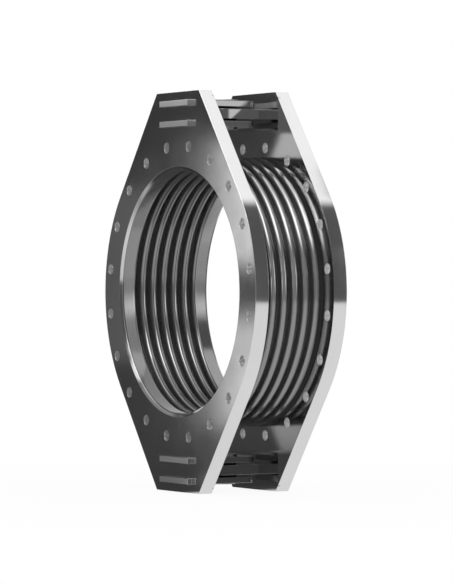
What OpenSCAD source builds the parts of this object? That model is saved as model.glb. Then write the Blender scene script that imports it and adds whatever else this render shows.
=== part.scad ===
// Hinged expansion joint: two plate flanges, a metal bellows between them,
// and a clevis hinge above and below the pipe.
// Y runs along the pipe, Z along the hinge pins, and the origin is where the two axes cross.

/* [Flanges] */
// Diameter of the round sides of each flange plate
flange_round_d = 645; // [635:1:655]
// Height of each flange plate over its flat top and bottom edges
flange_h = 820; // [800:5:860]
// Width of the flat top and bottom edges
flat_edge_w = 180; // [150:5:200]
// Thickness of each flange plate
flange_t = 30; // [24:1:40]
// Bolt circle diameter
bolt_circle_d = 600; // [595:1:605]
// Number of bolt holes, which straddle the vertical axis
bolt_count = 20; // [16:4:24]
// Bolt hole diameter
bolt_hole_d = 22; // [18:1:26]
// Chamfer at the mouth of the bore, over the flange and the end of the bellows
mouth_chamfer = 7; // [4:1:12]

/* [Bellows] */
// Number of convolutions
convolutions = 6; // [5:1:8]
// Length of one convolution
pitch = 25; // [22:1:30]
// Inside diameter of the bellows and its cuffs
bellows_id = 500; // [490:1:506]
// Outside diameter over the crests
bellows_od = 559; // [550:1:566]
// Thickness of the bellows wall
bellows_wall = 2; // [1:0.5:3]

/* [Hinges] */
// Height of the middle of each hinge above or below the pipe axis
hinge_z = 365; // [360:1:370]
// Width of the lugs
lug_w = 120; // [100:5:140]
// Thickness of each outer plate of a clevis
clevis_t = 12; // [10:1:14]
// Thickness of the centre lug
centre_t = 20; // [16:1:24]
// Gap between the centre lug and each clevis plate
lug_gap = 5; // [3:0.5:6]
// Free room between a lug's end and the opposite flange
lug_end_room = 25; // [20:1:28]
// Corner radius of the lug ends
lug_corner_r = 25; // [15:1:30]
// How far the lug tails stand proud of the flange face
tab_proud = 10; // [5:1:15]

/* [Pins] */
// Diameter of the hinge pins
pin_d = 40; // [32:1:44]
// Diameter of the retaining discs
disc_d = 62; // [54:1:70]
// Thickness of the retaining discs
disc_t = 4; // [3:0.5:6]
// Outside diameter of the spacers
spacer_d = 58; // [52:1:66]
// Wall thickness of the bushes
bush_wall = 4; // [3:0.5:5]

/* [Hidden] */
$fn = 96;

// Running clearance round the pins, and the gap between pieces that move past each other
pin_clearance = 0.05;
part_gap = 0.3;
// Extra length of a cutter past the faces it cuts
cut = 1;

half_gap = convolutions * pitch / 2;
face_y = half_gap + flange_t;
tail_y = face_y + tab_proud;
lug_reach = half_gap - lug_end_room;
cuff_r = bellows_id / 2;
bore_r = cuff_r + bellows_wall;
mouth_r = cuff_r + mouth_chamfer;

// Middle of a clevis plate, measured from the middle of its hinge
clevis_offset = centre_t / 2 + lug_gap + clevis_t / 2;
stack_half = clevis_offset + clevis_t / 2;
spacer_t = lug_gap - part_gap;
bush_r = pin_d / 2 + bush_wall;

// Where the slanted shoulder of a flange touches its round side
edge_x = flat_edge_w / 2;
edge_z = flange_h / 2;
round_r = flange_round_d / 2;
touch_angle = atan2(edge_z, edge_x) - acos(round_r / norm([edge_x, edge_z]));
touch_x = round_r * cos(touch_angle);
touch_z = round_r * sin(touch_angle);

// Bend radii of the bellows wall: its own middle line, its convex side and its concave side
bend_r = pitch / 4;
convex_r = bend_r + bellows_wall / 2;
concave_r = bend_r - bellows_wall / 2;
root_r = cuff_r + convex_r;
crest_r = bellows_od / 2 - convex_r;

// Round sides between two slanted shoulders
module flange_outline() {
    intersection() {
        circle(r = round_r, $fn = 360);
        square([flange_round_d + cut, 2 * touch_z], center = true);
    }
    for (turn = [0, 180])
        rotate(turn)
            polygon([
                [-touch_x, touch_z], [touch_x, touch_z],
                [edge_x, edge_z], [-edge_x, edge_z]
            ]);
}

// A flange plate standing on the plane z = 0 with its outer face up.
// slots lists each slot as [middle, width] along the plate's height.
module flange_plate(bore, slots) {
    difference() {
        linear_extrude(flange_t) flange_outline();
        translate([0, 0, -cut]) cylinder(r = bore, h = flange_t + 2 * cut, $fn = 360);
        translate([0, 0, flange_t - mouth_chamfer])
            cylinder(r1 = cuff_r, r2 = mouth_r + cut, h = mouth_chamfer + cut, $fn = 360);
        for (i = [0 : bolt_count - 1])
            rotate((i + 0.5) * 360 / bolt_count)
                translate([0, bolt_circle_d / 2, -cut])
                    cylinder(d = bolt_hole_d, h = flange_t + 2 * cut);
        for (side = [-1, 1], slot = slots)
            translate([0, side * slot[0], flange_t / 2])
                cube([lug_w, slot[1], flange_t + 2 * cut], center = true);
    }
}

module front_flange() {
    color("silver")
        translate([0, -half_gap, 0]) rotate([90, 0, 0])
            flange_plate(bore_r, [
                [hinge_z - clevis_offset, clevis_t],
                [hinge_z + clevis_offset, clevis_t]
            ]);
}

module rear_flange() {
    color("silver")
        mirror([0, 1, 0]) translate([0, -half_gap, 0]) rotate([90, 0, 0])
            flange_plate(bore_r + part_gap, [[hinge_z, centre_t]]);
}

// Half of a bent wall, a ring cut open on one side: facing 1 opens inwards, -1 opens outwards
module wall_bend(radius, facing) {
    translate([radius, 0])
        intersection() {
            difference() {
                circle(r = convex_r);
                circle(r = concave_r);
            }
            translate([facing * pitch / 2, 0]) square([pitch, pitch], center = true);
        }
}

// Wall of the bellows as [radius, length]: cuff, then root and crest bends joined by straight flanks
module bellows_wall_profile() {
    for (i = [0 : convolutions - 1])
        translate([0, (i + 0.5) * pitch - half_gap]) {
            wall_bend(crest_r, 1);
            for (side = [-1, 1])
                translate([(root_r + crest_r) / 2, side * bend_r])
                    square([crest_r - root_r, bellows_wall], center = true);
        }
    for (i = [1 : convolutions - 1])
        translate([0, i * pitch - half_gap]) wall_bend(root_r, -1);
    for (end = [0, 1])
        mirror([0, end]) {
            intersection() {
                translate([0, half_gap]) wall_bend(root_r, -1);
                translate([root_r, half_gap - pitch / 2]) square([pitch, pitch], center = true);
            }
            polygon([
                [cuff_r, half_gap],
                [bore_r, half_gap],
                [bore_r, face_y - mouth_chamfer + bellows_wall],
                [cuff_r, face_y - mouth_chamfer]
            ]);
        }
}

module bellows() {
    color("darkgray")
        rotate([-90, 0, 0]) rotate_extrude($fn = 360) bellows_wall_profile();
}

// Plan outline of a lug: tail at -Y, rounded end past the pin at +Y
module lug_outline() {
    inner_x = lug_w / 2 - lug_corner_r;
    inner_y = lug_reach - lug_corner_r;
    translate([-lug_w / 2, -tail_y]) square([lug_w, tail_y + inner_y]);
    translate([-inner_x, inner_y]) square([2 * inner_x, lug_corner_r]);
    for (side = [-1, 1])
        translate([side * inner_x, inner_y])
            intersection() {
                circle(r = lug_corner_r);
                translate([side * lug_corner_r, lug_corner_r])
                    square(2 * lug_corner_r, center = true);
            }
}

// A lug plate centred on height z, with its pin hole
module lug_plate(z, thickness, hole_r) {
    translate([0, 0, z - thickness / 2])
        difference() {
            linear_extrude(thickness) lug_outline();
            translate([0, 0, -cut]) cylinder(r = hole_r, h = thickness + 2 * cut);
        }
}

// side is 1 for the top hinge and -1 for the bottom one, away is 1 for the plate further from the pipe
module clevis_lug(side, away) {
    color("lightgray")
        lug_plate(side * (hinge_z + away * clevis_offset), clevis_t, pin_d / 2 + pin_clearance);
}

module centre_lug(side) {
    color("lightgray") mirror([0, 1, 0]) lug_plate(side * hinge_z, centre_t, bush_r);
}

module hinge_pin(side) {
    color("gainsboro")
        translate([0, 0, side * hinge_z])
            cylinder(d = pin_d, h = 2 * stack_half, center = true);
}

module pin_disc(side, away) {
    color("gainsboro")
        translate([0, 0, side * (hinge_z + away * (stack_half + disc_t / 2))])
            cylinder(d = disc_d, h = disc_t, center = true);
}

// A spacer lies on its clevis plate and stands a hair clear of the centre lug
module spacer(side, away) {
    middle = centre_t / 2 + part_gap + spacer_t / 2;
    color("black")
        translate([0, 0, side * (hinge_z + away * middle)])
            difference() {
                cylinder(d = spacer_d, h = spacer_t, center = true);
                cylinder(r = pin_d / 2 + pin_clearance, h = spacer_t + 2 * cut, center = true);
            }
}

module bush(side) {
    color("peru")
        translate([0, 0, side * hinge_z])
            difference() {
                cylinder(r = bush_r, h = centre_t, center = true);
                cylinder(r = pin_d / 2 + pin_clearance, h = centre_t + 2 * cut, center = true);
            }
}

front_flange();
rear_flange();
bellows();
clevis_lug(1, 1);  // top_outer_lug
clevis_lug(1, -1);  // top_inner_lug
clevis_lug(-1, 1);  // bottom_outer_lug
clevis_lug(-1, -1);  // bottom_inner_lug
centre_lug(1);  // top_centre_lug
centre_lug(-1);  // bottom_centre_lug
hinge_pin(1);  // top_hinge_pin
hinge_pin(-1);  // bottom_hinge_pin
pin_disc(1, 1);  // top_outer_pin_disc
pin_disc(1, -1);  // top_inner_pin_disc
pin_disc(-1, 1);  // bottom_outer_pin_disc
pin_disc(-1, -1);  // bottom_inner_pin_disc
spacer(1, 1);  // top_outer_spacer
spacer(1, -1);  // top_inner_spacer
spacer(-1, 1);  // bottom_outer_spacer
spacer(-1, -1);  // bottom_inner_spacer
bush(1);  // top_bush
bush(-1);  // bottom_bush
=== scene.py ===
from math import cos, pi, radians, sin, tau

import bmesh
import bpy
import numpy as np
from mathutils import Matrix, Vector


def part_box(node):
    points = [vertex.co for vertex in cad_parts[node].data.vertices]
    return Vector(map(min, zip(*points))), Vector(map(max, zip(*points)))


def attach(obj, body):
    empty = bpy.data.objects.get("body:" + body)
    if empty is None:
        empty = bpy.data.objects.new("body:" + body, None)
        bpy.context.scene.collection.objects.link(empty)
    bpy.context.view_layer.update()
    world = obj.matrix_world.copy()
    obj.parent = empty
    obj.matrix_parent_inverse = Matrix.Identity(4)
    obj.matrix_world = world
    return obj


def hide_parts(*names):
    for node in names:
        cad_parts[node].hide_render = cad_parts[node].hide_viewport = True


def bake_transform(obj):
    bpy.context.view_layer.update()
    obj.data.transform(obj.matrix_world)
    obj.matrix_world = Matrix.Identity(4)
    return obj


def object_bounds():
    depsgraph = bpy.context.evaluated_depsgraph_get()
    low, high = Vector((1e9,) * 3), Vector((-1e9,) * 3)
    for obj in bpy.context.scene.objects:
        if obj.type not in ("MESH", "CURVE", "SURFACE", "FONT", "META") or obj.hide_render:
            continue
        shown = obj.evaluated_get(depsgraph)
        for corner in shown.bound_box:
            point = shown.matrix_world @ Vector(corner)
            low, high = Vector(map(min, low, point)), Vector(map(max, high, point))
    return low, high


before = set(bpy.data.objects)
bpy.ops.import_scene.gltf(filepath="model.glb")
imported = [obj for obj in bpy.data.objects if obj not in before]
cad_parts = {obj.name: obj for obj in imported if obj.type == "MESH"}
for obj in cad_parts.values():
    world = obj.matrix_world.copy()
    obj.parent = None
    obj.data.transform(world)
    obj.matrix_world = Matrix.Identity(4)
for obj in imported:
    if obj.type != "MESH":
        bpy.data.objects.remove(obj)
cadBox = [list(corner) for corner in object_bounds()]
mm = 0.001

scene = bpy.context.scene
scene.view_settings.view_transform = "Standard"

# Main places of the part, read from the frame
flangeLow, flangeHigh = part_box("front_flange")
faceY = -flangeLow.y                     # outer face of a flange, from the middle of the joint
halfGap = -flangeHigh.y                  # inner face of a flange
floorZ = cadBox[0][2]                    # the flat bottom edges stand on the floor


def linearColour(hexCode):
    # sRGB hex to the linear colour that a shader takes
    srgb = np.array([int(hexCode[i:i + 2], 16) for i in (1, 3, 5)]) / 255
    linear = np.where(srgb <= 0.04045, srgb / 12.92, ((srgb + 0.055) / 1.055) ** 2.4)
    return (*linear.tolist(), 1.0)


def addNode(tree, kind, inputs=None, **settings):
    # a plain value is set on its socket, and another node's socket is linked to it
    node = tree.nodes.new(kind)
    for name, value in settings.items():
        setattr(node, name, value)
    for socket, value in (inputs or {}).items():
        if isinstance(value, bpy.types.NodeSocket):
            tree.links.new(value, node.inputs[socket])
        else:
            node.inputs[socket].default_value = value
    return node


def newMaterial(name):
    material = bpy.data.materials.new(name)
    material.use_nodes = True
    tree = material.node_tree
    return material, tree, tree.nodes["Principled BSDF"]


def newObject(name, points, faces):
    mesh = bpy.data.meshes.new(name)
    mesh.from_pydata(points.reshape(-1, 3).tolist(), [], faces)
    thing = bpy.data.objects.new(name, mesh)
    scene.collection.objects.link(thing)
    return thing


def gridFaces(rows, columns, wrapRows=False, wrapColumns=False):
    # four corners of every cell of a rows by columns grid of points, row after row
    rowStarts = np.arange(rows if wrapRows else rows - 1)
    columnStarts = np.arange(columns if wrapColumns else columns - 1)
    i, j = np.meshgrid(rowStarts, columnStarts, indexing="ij")
    nextI, nextJ = (i + 1) % rows, (j + 1) % columns
    corners = (i * columns + j, i * columns + nextJ, nextI * columns + nextJ, nextI * columns + j)
    return np.stack(corners, axis=-1).reshape(-1, 4).tolist()


# Camera at the photograph's viewing angle, with the lens given in pixels of its frame
cameraSpec = {
    "azimuth": 60.742,
    "elevation": 0.247,
    "distance": 7.305,
    "focalPixels": 3538.3,
    "framePixels": (452, 584),
    "originPixel": (222.27, 291.75),     # where the middle of the joint shows
}


def directionOf(azimuth, elevation):
    # from the joint towards a camera at this azimuth: 0 is the front, 90 the right side
    a, e = radians(azimuth), radians(elevation)
    return Vector((sin(a) * cos(e), -cos(a) * cos(e), sin(e)))


def placeCamera(spec):
    data = bpy.data.cameras.new("camera")
    camera = bpy.data.objects.new("camera", data)
    scene.collection.objects.link(camera)
    back = directionOf(spec["azimuth"], spec["elevation"])
    camera.location = back * spec["distance"]
    camera.rotation_mode = "QUATERNION"
    camera.rotation_quaternion = (-back).to_track_quat("-Z", "Y")
    width, height = spec["framePixels"]    # the sensor spans the longer side, the height
    data.lens = spec["focalPixels"] * data.sensor_width / height
    data.shift_x = (width / 2 - spec["originPixel"][0]) / height
    data.shift_y = (spec["originPixel"][1] - height / 2) / height
    scene.camera = camera


placeCamera(cameraSpec)
print("camera: lens", round(scene.camera.data.lens, 1), "mm")


# Studio: a white room, a pale floor, and a dark tent with windows and cards that only the metal sees.
# Ways round are in degrees from the rear (+Y) over the right side (+X), heights in degrees above the
# floor, and a pair of them is where a smooth step starts and ends.
rightRear = Vector((0.872, 0.489, 0))    # where the right sides of the part mirror the camera
frontLeft = Vector((-0.872, -0.489, 0))  # where the front face mirrors it
toCamera = Vector((0.88, -0.47, 0))
left, down = Vector((-1, 0, 0)), Vector((0, 0, -1))


def smooth(value, low, high):
    # 0 below low, 1 above high, and a smooth step between them
    t = np.clip((value - low) / (high - low), 0, 1)
    return t * t * (3 - 2 * t)


def between(value, rise, fall):
    # 1 from the end of the rise to the start of the fall, and 0 outside them
    return smooth(value, *rise) * (1 - smooth(value, *fall))


def inside(away, half, rim):
    # 1 in a rectangle and 0 outside it, from the distances to its middle, with a smooth step over each rim
    across, up = (1 - smooth(distance, halfSize - width / 2, halfSize + width / 2)
                  for distance, halfSize, width in zip(away, half, rim))
    return across * up


def glowMaterial():
    # shines with the brightness stored at each point
    material, tree, shader = newMaterial("studio glow")
    shader.inputs["Base Color"].default_value = (0, 0, 0, 1)
    shader.inputs["Specular IOR Level"].default_value = 0
    shader.inputs["Emission Color"].default_value = (1, 1, 1, 1)
    level = addNode(tree, "ShaderNodeAttribute", attribute_name="level")
    tree.links.new(level.outputs["Fac"], shader.inputs["Emission Strength"])
    return material


def metalSeesOnly(thing, level):
    # stores the brightness at each point, and leaves the thing to mirrored rays
    stored = thing.data.attributes.new("level", "FLOAT", "POINT")
    stored.data.foreach_set("value", level.astype(np.float32).ravel())
    thing.data.materials.append(studioGlow)
    thing.visible_camera = False
    thing.visible_diffuse = False
    thing.visible_shadow = False
    thing.visible_volume_scatter = False


# Panels and cards: the middle, the way they face, the size across and up, the brightness.
# A rim fades to the brightness around it, and the two sides may lean.
panels = {
    # over the part, for the slanted shoulders
    "shoulderPanel": {
        "middle": (0, 0.70, 1.40), "faces": down, "size": (1.69, 1.1),
        "level": 1.22, "rim": (0.18, 0.16), "around": 0.10},
    # to the right rear, for the ridges and for the inside of the bellows with its cuffs
    "ridgePanel": {
        "middle": (0.6357, 0.5015, 0.145), "faces": -rightRear, "size": (0.247, 0.39),
        "level": 4.0, "rim": (0.01, 0.12), "around": 0.3},
    "boreCard": {
        "middle": (0.3805, 0.3424, 0.42), "faces": -rightRear, "size": (0.105, 0.40),
        "level": 0.76, "lean": (-0.3, -0.4)},
    "boreFarCard": {
        "middle": (0.277, 0.528, 0.235), "faces": -rightRear, "size": (0.27, 0.47), "level": 0.10},
    "boreLowCard": {
        "middle": (0.325, 0.443, -0.0625), "faces": -rightRear, "size": (0.465, 0.145), "level": 0.74},
    "borePanel": {
        "middle": (0.3749, 0.3105, 0.1275), "faces": -rightRear, "size": (0.185, 0.275),
        "level": 1.3, "rim": (0.01, 0.105), "around": 0.70},
    "boreCuffPanel": {
        "middle": (0.3845, 0.2546, 0.128), "faces": -rightRear, "size": (0.068, 0.275),
        "level": 1.95, "rim": (0.004, 0.12), "around": 0.72},
    "boreTopCard": {
        "middle": (0.3333, 0.4276, 0.68), "faces": -rightRear, "size": (0.09, 0.24),
        "level": 0.76, "lean": (-0.45, -0.45)},
    "boreMidPanel": {
        "middle": (0.3096, 0.4269, 0.1125), "faces": -rightRear, "size": (0.082, 0.245),
        "level": 1.75, "rim": (0.001, 0.095), "around": 0.35},
    "boreMidCard": {
        "middle": (0.319, 0.4081, -0.03), "faces": -rightRear, "size": (0.05, 0.085), "level": 0.45},
    "boreFarStrip": {
        "middle": (0.2485, 0.5359, 0.085), "faces": -rightRear, "size": (0.168, 0.21),
        "level": 3.8, "rim": (0.012, 0.06), "around": 0.6},
    "boreNearStrip": {
        "middle": (0.3585, 0.3214, 0.095), "faces": -rightRear, "size": (0.062, 0.25),
        "level": 3.2, "rim": (0.010, 0.07), "around": 0.9},
    # straight behind the part, for what the metal mirrors at a low angle
    "backPanel": {
        "middle": (-3.0, 1.6, 0.15), "faces": toCamera, "size": (2.1, 1.1), "level": 0.8},
    "backLowPanel": {
        "middle": (-1.2, 0.555, -0.358), "faces": toCamera, "size": (0.36, 0.10), "level": 0.45},
    # to the front left, for the front face
    "blackFlag": {
        "middle": (-2.97, -1.77, 0.3), "faces": -frontLeft, "size": (1.8, 1.4), "level": 0.045},
    "greyCard": {
        "middle": (-2.59, -1.41, 0.04), "faces": -frontLeft, "size": (0.32, 0.50), "level": 0.13},
    "upperStrip": {
        "middle": (-2.50, -1.75, 0.245), "faces": -frontLeft, "size": (0.26, 0.36), "level": 1.0},
    "lowerStrip": {
        "middle": (-2.50, -1.75, -0.245), "faces": -frontLeft, "size": (0.26, 0.32), "level": 0.9},
    # beside the hinges, for the lugs and their tabs: dark flags and cards that paint shade, and pale cards
    # that paint light, into what the metal mirrors there
    "lowerHingeFlag": {
        "middle": (0.10, 0.003, -0.3683), "faces": left, "size": (0.155, 0.0825),
        "level": 0.055, "rim": (0.001, 0.007), "around": 0.16},
    "lowerBackFlag": {
        "middle": (-0.10, 0.003, -0.3723), "faces": -left, "size": (0.155, 0.0745), "level": 0.04},
    "upperHingeFlag": {
        "middle": (0.10, 0.003, 0.3683), "faces": left, "size": (0.155, 0.0825),
        "level": 0.12, "rim": (0.001, 0.007), "around": 0.16},
    "upperBackFlag": {
        "middle": (-0.10, 0.003, 0.3723), "faces": -left, "size": (0.155, 0.0745), "level": 0.04},
    "hingeCard": {
        "middle": (0.085, -0.009, 0.3865), "faces": left, "size": (0.098, 0.015),
        "level": 0.70, "rim": (0.016, 0.001), "around": 0.12, "lean": (-1.2, 0)},
    "hingeHalfCard": {
        "middle": (0.088, 0.006, 0.3655), "faces": left, "size": (0.022, 0.022),
        "level": 0.72, "rim": (0.005, 0.001), "around": 0.12, "lean": (-1.15, 0)},
    "hingeLowCard": {
        "middle": (0.085, -0.024, 0.3442), "faces": left, "size": (0.020, 0.012),
        "level": 0.40, "rim": (0.006, 0.001), "around": 0.12},
    # a dark card by the lower tab: painted shade on the tab's side and beside its end, as the metal mirrors
    # it
    "lowerTabShadeCard": {
        "middle": (0.13, -0.1392, -0.367), "faces": left, "size": (0.03, 0.072), "level": 0.156},
    "tabCard": {
        "middle": (-0.23, -0.262, 0.525), "faces": rightRear, "size": (0.28, 0.15), "level": 2.0},
}


def makePanel(name, spec):
    # a flat rectangle: middle plus u times its side plus v times its upright
    out = Vector(spec["faces"]).normalized()
    side = -left if out == down else out.cross(down).normalized()
    upright = out.cross(side)
    rims = spec.get("rim", [size / 10 for size in spec["size"]])
    ways = [np.array((0, rim, size - rim, size)) - size / 2 for rim, size in zip(rims, spec["size"])]
    u, v = np.meshgrid(*ways, indexing="ij")
    u = u + np.where(u < 0, *spec.get("lean", (0, 0))) * v
    points = np.array(spec["middle"]) + u[..., None] * np.array(side) + v[..., None] * np.array(upright)
    level = np.full((4, 4), spec.get("around", spec["level"]))
    level[1:3, 1:3] = spec["level"]
    metalSeesOnly(newObject(name, points, gridFaces(4, 4)), level)


tentSpec = {
    "radius": 4.2,
    "rows": 60, "columns": 144,          # points up and round
    "bottom": -0.6,                      # under the floor's rim, so that no white shows past it
    "dark": 0.10,                        # brightness of the cloth at eye level
    "roof": 2.5,                         # brightness of the roof
    "roofFrom": (53, 57),                # the heights where it starts
    "rearRoof": 1.15,                    # brightness of its rear part, and the ways round
    "rearRoofFrom": (-55, -35), "rearRoofTo": (42, 56),
    # the key window, to the front right, and the camera as the metal sees it
    "key": {"way": 120, "height": 59, "half": (46, 22.5), "rim": (24, 19), "level": 4.5},
    "lens": {"way": 119.3, "height": 0, "half": (6.5, 8.5), "rim": (3, 3), "level": 0.19},
    # paler lengths of cloth: the ways round, the heights, the brightness
    "sides": {
        "right": {"from": (62, 74), "to": (138, 150), "low": (-30, -20), "high": (50, 60), "level": 0.55},
        "rear": {"from": (-30, 0), "to": (32, 40), "low": (4, 14), "high": (44, 52), "level": 0.75},
        "front": {"from": (162, 170), "to": (190, 202), "low": (37, 42), "high": (49, 57), "level": 1.1},
        "left": {"from": (194, 208), "to": (256, 269), "low": (18, 28), "high": (62, 72), "level": 0.30},
    },
}


def makeTent(spec):
    # a dome: radius times (cos of height times sin and cos of the way round, sin of height)
    rows, columns = spec["rows"], spec["columns"]
    heights = np.linspace(np.arcsin(spec["bottom"] / spec["radius"]), pi / 2, rows)
    height, way = np.meshgrid(heights, np.linspace(0, tau, columns, endpoint=False), indexing="ij")
    points = spec["radius"] * np.stack(
        (np.cos(height) * np.sin(way), np.cos(height) * np.cos(way), np.sin(height)), axis=-1)
    tent = newObject("tent", points, gridFaces(rows, columns, wrapColumns=True))
    # dark cloth and the roof, then the key window and the paler cloth, then the lens over them
    height, way = np.degrees(height), np.degrees(way)
    turned = (way + 90) % 360 - 90       # -90 to 270, so that no length of cloth is cut at 0
    rear = between(turned, spec["rearRoofFrom"], spec["rearRoofTo"])
    roof = spec["roof"] + (spec["rearRoof"] - spec["roof"]) * rear
    level = spec["dark"] + (roof - spec["dark"]) * smooth(height, *spec["roofFrom"])
    keyShare, lensShare = (
        inside((abs(way - window["way"]), abs(height - window["height"])), window["half"], window["rim"])
        for window in (spec["key"], spec["lens"]))
    level = np.maximum(level, spec["key"]["level"] * keyShare)
    for cloth in spec["sides"].values():
        part = between(turned, cloth["from"], cloth["to"]) * between(height, cloth["low"], cloth["high"])
        level = np.maximum(level, cloth["level"] * part)
    level = level + (spec["lens"]["level"] - level) * lensShare
    metalSeesOnly(tent, level)


# Rings round the pipe axis: faint light beside the first and last bends, and low in the front mouth
rings = {
    "frontGapRing": {"radii": (0.257, 0.2775), "along": -halfGap + 2.5 * mm, "level": 0.03},
    "rearGapRing": {"radii": (0.257, 0.2775), "along": halfGap - 2.5 * mm, "level": 0.03},
    "mouthRing": {"radii": (0.203, 0.249), "along": -0.055, "level": 0.67, "turns": (213, 260)},
}
ringSteps = 97                           # points round a ring


def makeRing(name, spec):
    # a flat ring or part of one: radius times cos and sin of the way round, at one place along the pipe
    turns = np.radians(spec.get("turns", (0, 360)))
    radius, turn = np.meshgrid(spec["radii"], np.linspace(*turns, ringSteps), indexing="ij")
    along = np.full_like(turn, spec["along"])
    points = np.stack((radius * np.cos(turn), along, radius * np.sin(turn)), axis=-1)
    metalSeesOnly(newObject(name, points, gridFaces(2, ringSteps)), np.full_like(turn, spec["level"]))


floorSpec = {
    "radius": 3.6, "hub": 0.02,          # the hub is a share of the radius, closed by one face
    "rows": 24, "columns": 96,
    "under": 0.2 * mm,                   # clear of the flat bottom edges
    "colour": "#F2F2F2", "roughness": 0.9,
    "white": (0.93, 1.0), "whiteBetween": (0.7, 1.8),
}


def makeFloor(spec):
    # a disc: radius times reach times sin and cos of the way round, under the flat bottom edges
    rows, columns = spec["rows"], spec["columns"]
    turns = np.linspace(0, tau, columns, endpoint=False)
    reach, turn = np.meshgrid(np.linspace(spec["hub"], 1, rows), turns, indexing="ij")
    points = np.stack((reach * np.sin(turn), reach * np.cos(turn), reach * 0), axis=-1) * spec["radius"]
    points[..., 2] = floorZ - spec["under"]
    hub = list(range(columns))
    faces = [face[::-1] for face in gridFaces(rows, columns, wrapColumns=True) + [hub]]
    floor = newObject("floor", points, faces)
    # paper that takes the shadow, and turns to plain white away from the part where it is seen or mirrored
    material, tree, shader = newMaterial("floor paper, white and matt")
    shader.inputs["Base Color"].default_value = linearColour(spec["colour"])
    shader.inputs["Roughness"].default_value = spec["roughness"]
    shader.inputs["Specular IOR Level"].default_value = 0
    coords = addNode(tree, "ShaderNodeTexCoord")
    flat = addNode(tree, "ShaderNodeVectorMath", {
        0: coords.outputs["Object"], 1: (1, 1, 0)}, operation="MULTIPLY")
    away = addNode(tree, "ShaderNodeVectorMath", {0: flat.outputs[0]}, operation="LENGTH")
    fade = addNode(tree, "ShaderNodeMapRange", {
        "Value": away.outputs["Value"],
        "From Min": spec["whiteBetween"][0], "From Max": spec["whiteBetween"][1],
        "To Min": spec["white"][0], "To Max": spec["white"][1]}, interpolation_type="SMOOTHSTEP")
    path = addNode(tree, "ShaderNodeLightPath")
    seen = addNode(tree, "ShaderNodeMath", {
        0: path.outputs["Is Camera Ray"], 1: path.outputs["Is Glossy Ray"]}, operation="MAXIMUM")
    seenAll = addNode(tree, "ShaderNodeMath", {
        0: seen.outputs[0], 1: path.outputs["Is Transmission Ray"]}, operation="MAXIMUM")
    share = addNode(tree, "ShaderNodeMath", {
        0: seenAll.outputs[0], 1: fade.outputs["Result"]}, operation="MULTIPLY")
    white = addNode(tree, "ShaderNodeEmission", {"Color": (1, 1, 1, 1), "Strength": 1.0})
    both = addNode(tree, "ShaderNodeMixShader", {
        0: share.outputs[0], 1: shader.outputs[0], 2: white.outputs[0]})
    tree.links.new(both.outputs[0], tree.nodes["Material Output"].inputs["Surface"])
    floor.data.materials.append(material)


mirrorFloorSpec = {                      # the floor as the metal sees it: painted light from the right and the front, and dark elsewhere
    "half": 3.2, "steps": 257,
    "over": 0.05 * mm,
    "dark": 0.05, "lit": 0.87,
    "rightFrom": (0.0, 0.08),            # along X
    "frontFrom": (0.09, 0.75),           # across the mirrored view, to the front
    "rearFrom": (0.10, 0.20), "rearTo": (0.6, 0.9), "rearSide": (-0.7, -0.25), "rearShare": 0.7,
    "frontFade": (0.3, 1.3), "frontLoss": 0.2,
    "farFade": (0.45, 1.25), "farLoss": 0.75, "farUntil": (0.4, 1.2),
    # patches of painted light: the middle, the way of the long side, half sizes, rims, share of lit
    "patches": {
        "rear": {
            "middle": (-0.10, 0.465), "along": -left, "half": (0.36, 0.075),
            "rim": (0.1, 0.1), "share": 1.26},
        "front": {
            "middle": (-0.265, -0.447), "along": frontLeft, "half": (0.27, 0.09),
            "rim": (0.1, 0.1), "share": 0.5},
    },
}


def makeMirrorFloor(spec):
    # a square glowing sheet on the floor that holds painted light; its brightness is the largest of a few
    # smooth steps, faded to the front and to the rear
    line = np.linspace(-spec["half"], spec["half"], spec["steps"])
    y, x = np.meshgrid(line, line, indexing="ij")
    points = np.stack((x, y, np.full_like(x, floorZ + spec["over"])), axis=-1)
    across = -frontLeft.y * x + frontLeft.x * y
    rear = between(y, spec["rearFrom"], spec["rearTo"]) * smooth(x, *spec["rearSide"])
    lit = np.maximum(smooth(x, *spec["rightFrom"]), smooth(across, *spec["frontFrom"]))
    lit = np.maximum(lit, spec["rearShare"] * rear)
    lit *= 1 - spec["frontLoss"] * smooth(-y, *spec["frontFade"])
    lit *= 1 - spec["farLoss"] * smooth(y, *spec["farFade"]) * (1 - smooth(x, *spec["farUntil"]))
    for patch in spec["patches"].values():
        way = patch["along"]
        dx, dy = x - patch["middle"][0], y - patch["middle"][1]
        away = (abs(dx * way.x + dy * way.y), abs(dy * way.x - dx * way.y))
        lit = np.maximum(lit, patch["share"] * inside(away, patch["half"], patch["rim"]))
    sheet = newObject("mirror_floor", points, gridFaces(spec["steps"], spec["steps"]))
    metalSeesOnly(sheet, spec["dark"] + spec["lit"] * lit)


def makeWorld():
    world = bpy.data.worlds.new("white room")
    world.use_nodes = True
    world.node_tree.nodes["Background"].inputs["Color"].default_value = (1, 1, 1, 1)
    world.node_tree.nodes["Background"].inputs["Strength"].default_value = 1.0
    scene.world = world


studioGlow = glowMaterial()
makeWorld()
makeFloor(floorSpec)
makeMirrorFloor(mirrorFloorSpec)
makeTent(tentSpec)
for panelName, panelSpec in panels.items():
    makePanel(panelName, panelSpec)
for ringName, ringSpec in rings.items():
    makeRing(ringName, ringSpec)
print("studio: panels", len(panels), "rings", len(rings))


# Materials. Each starts from the real one and from how its surface was made.
noiseLow, noiseHigh = 0.3, 0.7           # a noise stays mostly between these
flangeFinish = {"colour": "#DCDCDC", "shade": "#D6D6D6", "roughness": (0.10, 0.13), "cloud": 70 * mm}


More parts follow.
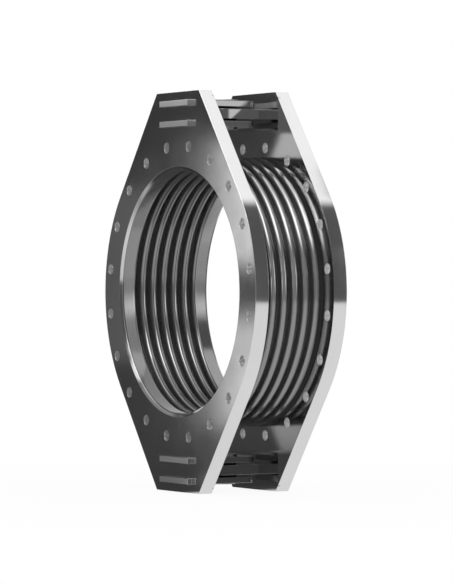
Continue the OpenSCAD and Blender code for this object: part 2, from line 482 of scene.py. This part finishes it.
def facedPlateSteel(spec):
    # stainless plate, faced and polished: bright, with faint clouds in its gloss
    material, tree, shader = newMaterial("stainless plate, faced")
    coords = addNode(tree, "ShaderNodeTexCoord")
    cloud = addNode(tree, "ShaderNodeTexNoise", {
        "Vector": coords.outputs["Object"], "Scale": 1 / spec["cloud"], "Detail": 4})
    rough = addNode(tree, "ShaderNodeMapRange", {
        "Value": cloud.outputs["Fac"], "From Min": noiseLow, "From Max": noiseHigh,
        "To Min": spec["roughness"][0], "To Max": spec["roughness"][1]})
    colour = addNode(tree, "ShaderNodeMix", {
        "Factor": cloud.outputs["Fac"], 6: linearColour(spec["colour"]), 7: linearColour(spec["shade"])},
        data_type="RGBA")
    shader.inputs["Metallic"].default_value = 1.0
    tree.links.new(colour.outputs[2], shader.inputs["Base Color"])
    tree.links.new(rough.outputs["Result"], shader.inputs["Roughness"])
    return material


edgeFinish = {"colour": "#E2E2E2", "roughness": (0.16, 0.26), "grain": 4 * mm}


def filedEdgeSteel(spec):
    # the same steel where a file broke the corner: a brighter line with uneven gloss
    material, tree, shader = newMaterial("stainless edge, filed")
    coords = addNode(tree, "ShaderNodeTexCoord")
    grain = addNode(tree, "ShaderNodeTexNoise", {
        "Vector": coords.outputs["Object"], "Scale": 1 / spec["grain"], "Detail": 2})
    rough = addNode(tree, "ShaderNodeMapRange", {
        "Value": grain.outputs["Fac"], "From Min": noiseLow, "From Max": noiseHigh,
        "To Min": spec["roughness"][0], "To Max": spec["roughness"][1]})
    shader.inputs["Metallic"].default_value = 1.0
    shader.inputs["Base Color"].default_value = linearColour(spec["colour"])
    tree.links.new(rough.outputs["Result"], shader.inputs["Roughness"])
    return material


holeFinish = {"colour": "#E8E8E8", "metallic": 0.80, "roughness": 0.22}


def drilledSteel(spec):
    # the same steel inside a drilled hole: a matt, pale wall
    material, tree, shader = newMaterial("stainless hole, drilled")
    shader.inputs["Metallic"].default_value = spec["metallic"]
    shader.inputs["Base Color"].default_value = linearColour(spec["colour"])
    shader.inputs["Roughness"].default_value = spec["roughness"]
    return material


endFinish = {"colour": "#D0D0D0", "metallic": 0.97, "roughness": (0.48, 0.56), "grain": 1.5 * mm}


def sawnEndSteel(spec):
    # the sawn end of a bar: matt, with a fine uneven grain
    material, tree, shader = newMaterial("stainless bar, sawn end")
    coords = addNode(tree, "ShaderNodeTexCoord")
    grain = addNode(tree, "ShaderNodeTexNoise", {
        "Vector": coords.outputs["Object"], "Scale": 1 / spec["grain"], "Detail": 2})
    rough = addNode(tree, "ShaderNodeMapRange", {
        "Value": grain.outputs["Fac"], "From Min": noiseLow, "From Max": noiseHigh,
        "To Min": spec["roughness"][0], "To Max": spec["roughness"][1]})
    shader.inputs["Metallic"].default_value = spec["metallic"]
    shader.inputs["Base Color"].default_value = linearColour(spec["colour"])
    tree.links.new(rough.outputs["Result"], shader.inputs["Roughness"])
    return material


bellowsFinish = {"colour": "#929292", "shade": "#8A8A8A", "metallic": 0.81, "roughness": (0.11, 0.15),
                 # streaks drawn coarser than the real ones, so that they show
                 "streakWide": 1.6 * mm, "streakLong": 220 * mm, "streakDepth": 0.0004 * mm}


def formedSheetSteel(spec):
    # thin stainless sheet, cold formed: grey with a dull film, and faint streaks that run round the tube
    material, tree, shader = newMaterial("stainless sheet, cold formed")
    coords = addNode(tree, "ShaderNodeTexCoord")
    stretch = addNode(tree, "ShaderNodeVectorMath", {
        0: coords.outputs["UV"], 1: (1 / spec["streakLong"], 1 / spec["streakWide"], 1)},
        operation="MULTIPLY")
    streak = addNode(tree, "ShaderNodeTexNoise", {"Vector": stretch.outputs[0], "Scale": 1.0, "Detail": 3})
    rough = addNode(tree, "ShaderNodeMapRange", {
        "Value": streak.outputs["Fac"], "From Min": noiseLow, "From Max": noiseHigh,
        "To Min": spec["roughness"][0], "To Max": spec["roughness"][1]})
    colour = addNode(tree, "ShaderNodeMix", {
        "Factor": streak.outputs["Fac"], 6: linearColour(spec["colour"]), 7: linearColour(spec["shade"])},
        data_type="RGBA")
    bump = addNode(tree, "ShaderNodeBump", {
        "Height": streak.outputs["Fac"], "Distance": spec["streakDepth"]})
    shader.inputs["Metallic"].default_value = spec["metallic"]
    tree.links.new(colour.outputs[2], shader.inputs["Base Color"])
    tree.links.new(rough.outputs["Result"], shader.inputs["Roughness"])
    tree.links.new(bump.outputs["Normal"], shader.inputs["Normal"])
    return material


lugFinish = {"colour": "#D6D6D6", "shade": "#CCCCCC", "roughness": (0.09, 0.12),
             # lines drawn coarser than the real ones, so that they show
             "lineWide": 1.2 * mm, "lineLong": 60 * mm, "lineDepth": 0.0006 * mm}


def milledLugSteel(spec):
    # stainless flat bar, milled along its length: satin, with short lines along the pipe
    material, tree, shader = newMaterial("stainless bar, milled")
    coords = addNode(tree, "ShaderNodeTexCoord")
    stretch = addNode(tree, "ShaderNodeVectorMath", {
        0: coords.outputs["Object"], 1: (1 / spec["lineWide"], 1 / spec["lineLong"], 1 / spec["lineWide"])},
        operation="MULTIPLY")
    line = addNode(tree, "ShaderNodeTexNoise", {"Vector": stretch.outputs[0], "Scale": 1.0, "Detail": 3})
    rough = addNode(tree, "ShaderNodeMapRange", {
        "Value": line.outputs["Fac"], "From Min": noiseLow, "From Max": noiseHigh,
        "To Min": spec["roughness"][0], "To Max": spec["roughness"][1]})
    colour = addNode(tree, "ShaderNodeMix", {
        "Factor": line.outputs["Fac"], 6: linearColour(spec["colour"]), 7: linearColour(spec["shade"])},
        data_type="RGBA")
    bump = addNode(tree, "ShaderNodeBump", {"Height": line.outputs["Fac"], "Distance": spec["lineDepth"]})
    shader.inputs["Metallic"].default_value = 1.0
    tree.links.new(colour.outputs[2], shader.inputs["Base Color"])
    tree.links.new(rough.outputs["Result"], shader.inputs["Roughness"])
    tree.links.new(bump.outputs["Normal"], shader.inputs["Normal"])
    return material


pinFinish = {"colour": "#DADADA", "roughness": (0.15, 0.25),
             # rings drawn coarser than the real ones, so that they show
             "ring": 1.5 * mm, "ringDepth": 0.0005 * mm}


def turnedPinSteel(spec):
    # round stainless bar, turned: bright, with fine rings round its axis
    material, tree, shader = newMaterial("stainless bar, turned")
    coords = addNode(tree, "ShaderNodeTexCoord")
    parts = addNode(tree, "ShaderNodeSeparateXYZ", {0: coords.outputs["Object"]})
    across = addNode(tree, "ShaderNodeVectorMath", {
        0: coords.outputs["Object"], 1: (1, 1, 0)}, operation="MULTIPLY")
    radius = addNode(tree, "ShaderNodeVectorMath", {0: across.outputs[0]}, operation="LENGTH")
    way = addNode(tree, "ShaderNodeMath", {
        0: radius.outputs["Value"], 1: parts.outputs["Z"]}, operation="ADD")
    turns = addNode(tree, "ShaderNodeMath", {
        0: way.outputs[0], 1: tau / spec["ring"]}, operation="MULTIPLY")
    ring = addNode(tree, "ShaderNodeMath", {0: turns.outputs[0]}, operation="SINE")
    rough = addNode(tree, "ShaderNodeMapRange", {
        "Value": ring.outputs[0], "From Min": -1.0, "From Max": 1.0,
        "To Min": spec["roughness"][0], "To Max": spec["roughness"][1]})
    bump = addNode(tree, "ShaderNodeBump", {"Height": ring.outputs[0], "Distance": spec["ringDepth"]})
    shader.inputs["Metallic"].default_value = 1.0
    shader.inputs["Base Color"].default_value = linearColour(spec["colour"])
    tree.links.new(rough.outputs["Result"], shader.inputs["Roughness"])
    tree.links.new(bump.outputs["Normal"], shader.inputs["Normal"])
    return material


bushFinish = {"colour": "#B98F52", "shade": "#8F6A38", "roughness": (0.3, 0.45),
              "pore": 0.8 * mm}            # drawn coarser than the real ones, so that they show


def bearingBronze(spec):
    # sintered bearing bronze: dull gold-brown with dark pores
    material, tree, shader = newMaterial("bearing bronze, sintered")
    coords = addNode(tree, "ShaderNodeTexCoord")
    pore = addNode(tree, "ShaderNodeTexNoise", {
        "Vector": coords.outputs["Object"], "Scale": 1 / spec["pore"], "Detail": 2})
    rough = addNode(tree, "ShaderNodeMapRange", {
        "Value": pore.outputs["Fac"], "From Min": noiseLow, "From Max": noiseHigh,
        "To Min": spec["roughness"][0], "To Max": spec["roughness"][1]})
    colour = addNode(tree, "ShaderNodeMix", {
        "Factor": pore.outputs["Fac"], 6: linearColour(spec["colour"]), 7: linearColour(spec["shade"])},
        data_type="RGBA")
    shader.inputs["Metallic"].default_value = 1.0
    tree.links.new(colour.outputs[2], shader.inputs["Base Color"])
    tree.links.new(rough.outputs["Result"], shader.inputs["Roughness"])
    return material


# the washers' black also stands in for the shade in the gaps between the lugs
washerFinishAndGapShade = {"colour": "#242424", "roughness": (0.5, 0.65), "grain": 1.0 * mm}


def bearingPlastic(spec):
    # black bearing plastic, turned from bar: matt, with a fine grain; the black is also painted shade for
    # the narrow gaps between the hinge lugs
    material, tree, shader = newMaterial("bearing plastic, turned")
    coords = addNode(tree, "ShaderNodeTexCoord")
    grain = addNode(tree, "ShaderNodeTexNoise", {
        "Vector": coords.outputs["Object"], "Scale": 1 / spec["grain"], "Detail": 2})
    rough = addNode(tree, "ShaderNodeMapRange", {
        "Value": grain.outputs["Fac"], "From Min": noiseLow, "From Max": noiseHigh,
        "To Min": spec["roughness"][0], "To Max": spec["roughness"][1]})
    shader.inputs["Base Color"].default_value = linearColour(spec["colour"])
    tree.links.new(rough.outputs["Result"], shader.inputs["Roughness"])
    return material


flangeSteel = facedPlateSteel(flangeFinish)
edgeSteel = filedEdgeSteel(edgeFinish)
holeSteel = drilledSteel(holeFinish)
endSteel = sawnEndSteel(endFinish)
bellowsSteel = formedSheetSteel(bellowsFinish)
lugSteel = milledLugSteel(lugFinish)
pinSteel = turnedPinSteel(pinFinish)
bushBronze = bearingBronze(bushFinish)
washerPlasticAndGapShade = bearingPlastic(washerFinishAndGapShade)
print("materials:", len(bpy.data.materials))


# Bellows: one sheet from mouth to mouth
bellowsSpec = {
    "convolutions": 6,
    "wall": 2 * mm,
    "insideRadius": 250 * mm,
    "mouthChamfer": 7 * mm,
    "cuffLine": 0.6 * mm,                # points this far from the bend keep the cuff's gloss flat
    "stepsInBend": 13,
    "stepsRound": 256,
    "sharp": radians(30),                # steeper corners stay sharp
}


def bellowsProfile(spec):
    # The middle line of the sheet is a row of half circles, root and crest by turns:
    # radius = bend centre -/+ bend times cos t, length = bend middle + bend times sin t.
    # The two sides of the sheet lie half a wall to each side of it.
    pitch = 2 * halfGap / spec["convolutions"]
    bend, half = pitch / 4, spec["wall"] / 2
    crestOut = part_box("bellows")[1].x
    rootCentre, crestCentre = spec["insideRadius"] + half + bend, crestOut - half - bend
    number, t = np.meshgrid(np.arange(2 * spec["convolutions"] + 1),
                            np.linspace(-pi / 2, pi / 2, spec["stepsInBend"]), indexing="ij")
    halfBend = spec["stepsInBend"] // 2  # the first and the last root are half bends
    number, t = number.ravel()[halfBend:-halfBend], t.ravel()[halfBend:-halfBend]
    way = np.where(number % 2 == 1, 1.0, -1.0)
    radius = np.where(way > 0, crestCentre, rootCentre) + way * bend * np.cos(t)
    length = number * pitch / 2 - halfGap + bend * np.sin(t)
    middle = np.stack((radius, length), axis=-1)
    outward = np.stack((np.cos(t), way * np.sin(t)), axis=-1)
    outer, inner = middle + half * outward, middle - half * outward
    lip = faceY - spec["mouthChamfer"]
    outerEnd = np.array((spec["insideRadius"] + spec["wall"], lip + spec["wall"]))
    innerEnd = np.array((spec["insideRadius"], lip))
    cuffIn = np.array((spec["insideRadius"], halfGap + spec["cuffLine"]))
    cuffOut = cuffIn + (spec["wall"], 0)
    flip = np.array((1, -1))
    return np.vstack((outerEnd * flip, cuffOut * flip, outer, cuffOut, outerEnd,
                      innerEnd, cuffIn, inner[::-1], cuffIn * flip, innerEnd * flip))


def makeBellows(spec):
    # the profile's loop carried once round the pipe axis: radius times cos and sin of the turn
    profile = bellowsProfile(spec)
    count, around = len(profile), spec["stepsRound"]
    turn = np.linspace(0, tau, around, endpoint=False)[:, None]
    radius, length = profile.T
    points = np.stack((radius * np.cos(turn), length + 0 * turn, radius * np.sin(turn)), axis=-1)
    faces = gridFaces(around, count, wrapRows=True, wrapColumns=True)
    piece = newObject("bellows_sheet", points, faces)
    mesh = piece.data
    # UV in metres: the way round at the mean radius, and the way along the profile
    steps = np.linalg.norm(np.roll(profile, -1, axis=0) - profile, axis=1)
    along = np.concatenate(([0.0], np.cumsum(steps)))
    i, j = np.meshgrid(np.arange(around), np.arange(count), indexing="ij")
    roundStep = tau * radius.mean() / around
    u = np.stack((i, i, i + 1, i + 1), axis=-1) * roundStep
    v = np.stack((along[j], along[j + 1], along[j + 1], along[j]), axis=-1)
    layer = mesh.uv_layers.new(name="wrap")
    layer.data.foreach_set("uv", np.stack((u, v), axis=-1).astype(np.float32).ravel())
    mesh.shade_smooth()
    mesh.set_sharp_from_angle(angle=spec["sharp"])
    mesh.materials.append(bellowsSteel)
    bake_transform(piece)
    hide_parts("bellows")
    return piece


bellowsPiece = makeBellows(bellowsSpec)
print("bellows: faces", len(bellowsPiece.data.polygons))


# Plates with their corners broken
edgeSpec = {
    "merge": 0.001 * mm,
    "flat": radians(0.3),                # triangles within this angle are joined
    "corner": radians(40), "steps": 2,   # corners above this angle are broken
    "endFacing": 0.9,                    # a sawn end's normal has more than this along the pipe
    "wallFacing": 0.1,                   # and a hole wall's has less than this
}
holeBand = (285 * mm, 315 * mm)          # distance of the bolt holes' walls from the pipe axis
finishIndex, edgeIndex, holeIndex, endIndex = range(4)    # places in a plate's list of materials
plates = {}
for body in ("front", "rear"):
    plates[f"{body}_flange"] = {
        "piece": f"{body}_flange_plate", "body": body, "slot": "flange_steel", "edge": 0.8 * mm}
for side in ("top", "bottom"):
    for place, body in (("outer", "front"), ("centre", "rear"), ("inner", "front")):
        plates[f"{side}_{place}_lug"] = {
            "piece": f"{side}_{place}_lug_plate", "body": body, "slot": "lug_steel", "edge": 0.4 * mm}
    for place in ("outer", "inner"):
        plates[f"{side}_{place}_pin_disc"] = {
            "piece": f"{side}_{place}_pin_washer", "body": "front", "slot": "pin_steel", "edge": 0.5 * mm}
finishOfSlot = {"flange_steel": flangeSteel, "lug_steel": lugSteel, "pin_steel": pinSteel}


def breakCorners(nodeName, spec):
    # a merged copy of the solid with its flat triangles joined, and a small round on every corner
    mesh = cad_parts[nodeName].data.copy()
    mesh.name = spec["piece"]
    mesh.materials.clear()
    for material in (finishOfSlot[spec["slot"]], edgeSteel, holeSteel, endSteel):
        mesh.materials.append(material)
    work = bmesh.new()
    work.from_mesh(mesh)
    bmesh.ops.remove_doubles(work, verts=work.verts, dist=edgeSpec["merge"])
    bmesh.ops.dissolve_limit(work, angle_limit=edgeSpec["flat"], verts=work.verts, edges=work.edges)
    isLug = spec["slot"] == "lug_steel"
    for face in work.faces:
        middle, alongPipe = face.calc_center_median(), abs(face.normal.y)
        inBand = holeBand[0] < np.hypot(middle.x, middle.z) < holeBand[1]
        face.material_index = finishIndex
        if isLug and alongPipe > edgeSpec["endFacing"]:
            face.material_index = endIndex
        if not isLug and inBand and alongPipe < edgeSpec["wallFacing"]:
            face.material_index = holeIndex
    work.to_mesh(mesh)
    work.free()
    mesh.shade_smooth()
    piece = bpy.data.objects.new(spec["piece"], mesh)
    scene.collection.objects.link(piece)
    bevel = piece.modifiers.new("broken corners", "BEVEL")
    bevel.limit_method = "ANGLE"
    bevel.angle_limit = edgeSpec["corner"]
    bevel.width = spec["edge"]
    bevel.segments = edgeSpec["steps"]
    bevel.material = edgeIndex if spec["slot"] == "flange_steel" else finishIndex
    weighted = piece.modifiers.new("flat faces stay flat", "WEIGHTED_NORMAL")
    weighted.mode = "FACE_AREA"
    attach(piece, spec["body"])
    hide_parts(nodeName)
    return piece


for plateNode, plateSpec in plates.items():
    breakCorners(plateNode, plateSpec)
print("plates with broken corners:", len(plates))


# The pieces inside the hinges keep their solids and take a finish
innerFinishes = {"bush": bushBronze, "hinge_pin": pinSteel, "spacer": washerPlasticAndGapShade}
for nodeName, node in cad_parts.items():
    for ending, finish in innerFinishes.items():
        if nodeName.endswith(ending):
            for materialSlot in node.material_slots:
                materialSlot.material = finish
